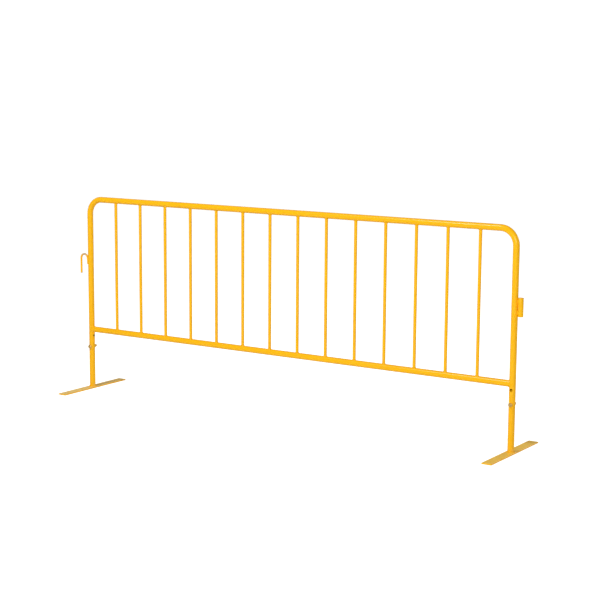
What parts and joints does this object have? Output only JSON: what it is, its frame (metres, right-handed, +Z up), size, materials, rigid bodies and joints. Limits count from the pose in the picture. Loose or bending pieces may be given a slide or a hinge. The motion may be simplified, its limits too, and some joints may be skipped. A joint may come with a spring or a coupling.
{
  "type": "crowd control barrier",
  "caption": "Free-standing steel crowd control barrier: bent tube frame with vertical bars, a drop hook and a receiver sleeve at its ends, and flat feet that turn in line for stacking.",
  "frame": {"origin": "on the ground, under the middle of the barrier's overall box, hook and sleeve included", "axes": "+X along the panel towards the receiver sleeve, +Y across the panel away from the bolt heads, +Z up"},
  "size_m": [2.677, 0.508, 1.067],
  "materials": {
    "frame_paint": "semi-gloss golden yellow powder coat",
    "bar_paint": "semi-gloss golden yellow powder coat",
    "hook_paint": "semi-gloss golden yellow powder coat, rubbed where it drops into the sleeve",
    "sleeve_paint": "semi-gloss golden yellow powder coat",
    "foot_paint": "semi-gloss golden yellow powder coat, scuffed on top",
    "spigot_steel": "plain drawn steel tube",
    "fastener_zinc": "yellow-passivated zinc plate"
  },
  "bodies": {
    "panel": {"frame_tube": "frame_paint", "bottom_rail": "frame_paint", "bar_01": "bar_paint", "bar_02": "bar_paint", "bar_03": "bar_paint", "bar_04": "bar_paint", "bar_05": "bar_paint", "bar_06": "bar_paint", "bar_07": "bar_paint", "bar_08": "bar_paint", "bar_09": "bar_paint", "bar_10": "bar_paint", "bar_11": "bar_paint", "bar_12": "bar_paint", "bar_13": "bar_paint", "bar_14": "bar_paint", "link_hook": "hook_paint", "hook_sleeve": "sleeve_paint", "sleeve_welds": "sleeve_paint", "left_leg_bolt": "fastener_zinc", "left_leg_nut": "fastener_zinc", "left_head_washer": "fastener_zinc", "left_nut_washer": "fastener_zinc", "right_leg_bolt": "fastener_zinc", "right_leg_nut": "fastener_zinc", "right_head_washer": "fastener_zinc", "right_nut_washer": "fastener_zinc"},
    "left_foot": {"left_foot_plate": "foot_paint", "left_leg_post": "foot_paint", "left_spigot": "spigot_steel"},
    "right_foot": {"right_foot_plate": "foot_paint", "right_leg_post": "foot_paint", "right_spigot": "spigot_steel"}
  },
  "joints": [
    {"name": "left_foot_swivel", "type": "hinge", "parent": "panel", "child": "left_foot", "pos_m": [-1.26399, 0, 0.233], "axis": [0, 0, 1], "range_deg": [0, 90]},
    {"name": "right_foot_swivel", "type": "hinge", "parent": "panel", "child": "right_foot", "pos_m": [1.29526, 0, 0.233], "axis": [0, 0, 1], "range_deg": [0, 90]}
  ]
}
